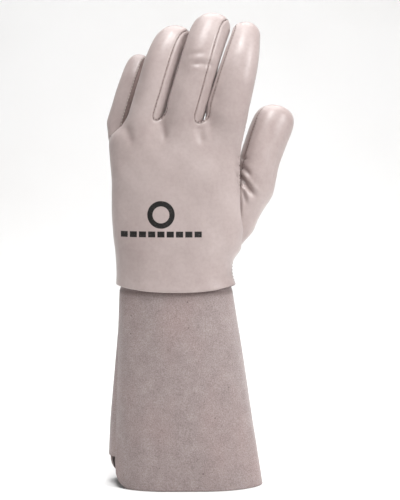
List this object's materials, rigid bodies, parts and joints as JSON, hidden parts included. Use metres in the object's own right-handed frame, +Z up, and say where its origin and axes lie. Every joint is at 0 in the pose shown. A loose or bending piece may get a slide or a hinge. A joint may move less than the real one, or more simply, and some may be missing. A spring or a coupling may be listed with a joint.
{
  "type": "welding glove",
  "caption": "Long-cuffed left-hand leather welding glove, hollow, standing on its flared cuff, with fingers and thumb that fold at their knuckles and a wrist that bends.",
  "frame": {"origin": "middle of the box's base, on the plane of the cuff's rim", "axes": "+Z up the forearm to the fingertips, -Y out of the back of the hand, +Y out of the palm, +X to the thumb side"},
  "size_m": [0.143, 0.078, 0.3633],
  "materials": {
    "grain_leather": "smooth full-grain hide, soft sheen",
    "split_leather": "suede, matt with a fine nap",
    "sewing_thread": "twisted aramid thread, matt"
  },
  "bodies": {
    "cuff": {"cuff_side_thread": "sewing_thread", "cuff_split_leather": "split_leather", "wrist_fold_leather": "grain_leather", "wrist_seam_thread": "sewing_thread"},
    "hand": {"hand_back_leather": "grain_leather", "hand_palm_leather": "grain_leather", "index_middle_fork": "grain_leather", "index_root_fold": "grain_leather", "little_root_fold": "grain_leather", "middle_ring_fork": "grain_leather", "middle_root_fold": "grain_leather", "palm_edge_seam_thread": "sewing_thread", "ring_little_fork": "grain_leather", "ring_root_fold": "grain_leather", "thumb_root_fold": "grain_leather", "thumb_set_in_leather": "grain_leather", "thumb_side_seam_thread": "sewing_thread"},
    "index_base": {"index_back_lower": "grain_leather", "index_inner_side_lower": "grain_leather", "index_mid_fold": "grain_leather", "index_palm_lower": "grain_leather"},
    "index_tip": {"index_back_seam_thread": "sewing_thread", "index_back_upper": "grain_leather", "index_inner_side_upper": "grain_leather", "index_palm_upper": "grain_leather"},
    "middle_base": {"middle_back_lower": "grain_leather", "middle_mid_fold": "grain_leather", "middle_palm_lower": "grain_leather", "middle_radial_side_lower": "grain_leather", "middle_ulnar_side_lower": "grain_leather"},
    "middle_tip": {"middle_back_seam_thread": "sewing_thread", "middle_back_upper": "grain_leather", "middle_palm_upper": "grain_leather", "middle_radial_side_upper": "grain_leather", "middle_ulnar_side_upper": "grain_leather"},
    "ring_base": {"ring_back_lower": "grain_leather", "ring_mid_fold": "grain_leather", "ring_palm_lower": "grain_leather", "ring_radial_side_lower": "grain_leather", "ring_ulnar_side_lower": "grain_leather"},
    "ring_tip": {"ring_back_seam_thread": "sewing_thread", "ring_back_upper": "grain_leather", "ring_palm_upper": "grain_leather", "ring_radial_side_upper": "grain_leather", "ring_ulnar_side_upper": "grain_leather"},
    "little_base": {"little_back_lower": "grain_leather", "little_inner_side_lower": "grain_leather", "little_mid_fold": "grain_leather", "little_palm_lower": "grain_leather"},
    "little_tip": {"little_back_seam_thread": "sewing_thread", "little_back_upper": "grain_leather", "little_inner_side_upper": "grain_leather", "little_palm_upper": "grain_leather"},
    "thumb_base": {"thumb_back_lower": "grain_leather", "thumb_mid_fold": "grain_leather", "thumb_palm_lower": "grain_leather"},
    "thumb_tip": {"thumb_back_seam_thread": "sewing_thread", "thumb_back_upper": "grain_leather", "thumb_palm_upper": "grain_leather"}
  },
  "joints": [
    {"name": "wrist_bend", "type": "hinge", "parent": "cuff", "child": "hand", "pos_m": [-0.01967, -0.00898, 0.165], "axis": [1, 0, 0], "range_deg": [-30, 30], "deforming": ["wrist_fold_leather"]},
    {"name": "index_root_bend", "type": "hinge", "parent": "hand", "child": "index_base", "pos_m": [0.02076, -0.00909, 0.28824], "axis": [-0.9722, 0.0523, 0.228], "range_deg": [-12, 50], "deforming": ["index_root_fold"]},
    {"name": "index_mid_bend", "type": "hinge", "parent": "index_base", "child": "index_tip", "pos_m": [0.02783, -0.00338, 0.31837], "axis": [-0.9722, 0.0523, 0.228], "range_deg": [-15, 50], "deforming": ["index_mid_fold"]},
    {"name": "middle_root_bend", "type": "hinge", "parent": "hand", "child": "middle_base", "pos_m": [-0.01012, -0.01108, 0.29129], "axis": [-0.9556, 0.1392, 0.2596], "range_deg": [-12, 50], "deforming": ["middle_root_fold"]},
    {"name": "middle_mid_bend", "type": "hinge", "parent": "middle_base", "child": "middle_tip", "pos_m": [-0.00152, -0.00505, 0.32293], "axis": [-0.9556, 0.1392, 0.2596], "range_deg": [-15, 50], "deforming": ["middle_mid_fold"]},
    {"name": "ring_root_bend", "type": "hinge", "parent": "hand", "child": "ring_base", "pos_m": [-0.03942, -0.00713, 0.29174], "axis": [-0.9393, 0.2079, 0.2729], "range_deg": [-12, 50], "deforming": ["ring_root_fold"]},
    {"name": "ring_mid_bend", "type": "hinge", "parent": "ring_base", "child": "ring_tip", "pos_m": [-0.03122, -0.00171, 0.31995], "axis": [-0.9393, 0.2079, 0.2729], "range_deg": [-15, 50], "deforming": ["ring_mid_fold"]},
    {"name": "little_root_bend", "type": "hinge", "parent": "hand", "child": "little_base", "pos_m": [-0.06075, 0.00963, 0.28108], "axis": [-0.9547, 0.1392, 0.263], "range_deg": [-12, 50], "deforming": ["little_root_fold"]},
    {"name": "little_mid_bend", "type": "hinge", "parent": "little_base", "child": "little_tip", "pos_m": [-0.05432, 0.01409, 0.30445], "axis": [-0.9547, 0.1392, 0.263], "range_deg": [-15, 45], "deforming": ["little_mid_fold"]},
    {"name": "thumb_root_bend", "type": "hinge", "parent": "hand", "child": "thumb_base", "pos_m": [0.04302, 0.01127, 0.23454], "axis": [-0.9636, 0, 0.2672], "range_deg": [-20, 35], "deforming": ["thumb_root_fold"]},
    {"name": "thumb_mid_bend", "type": "hinge", "parent": "thumb_base", "child": "thumb_tip", "pos_m": [0.05055, 0.01834, 0.2617], "axis": [-0.9636, 0, 0.2672], "range_deg": [-15, 45], "deforming": ["thumb_mid_fold"]}
  ]
}
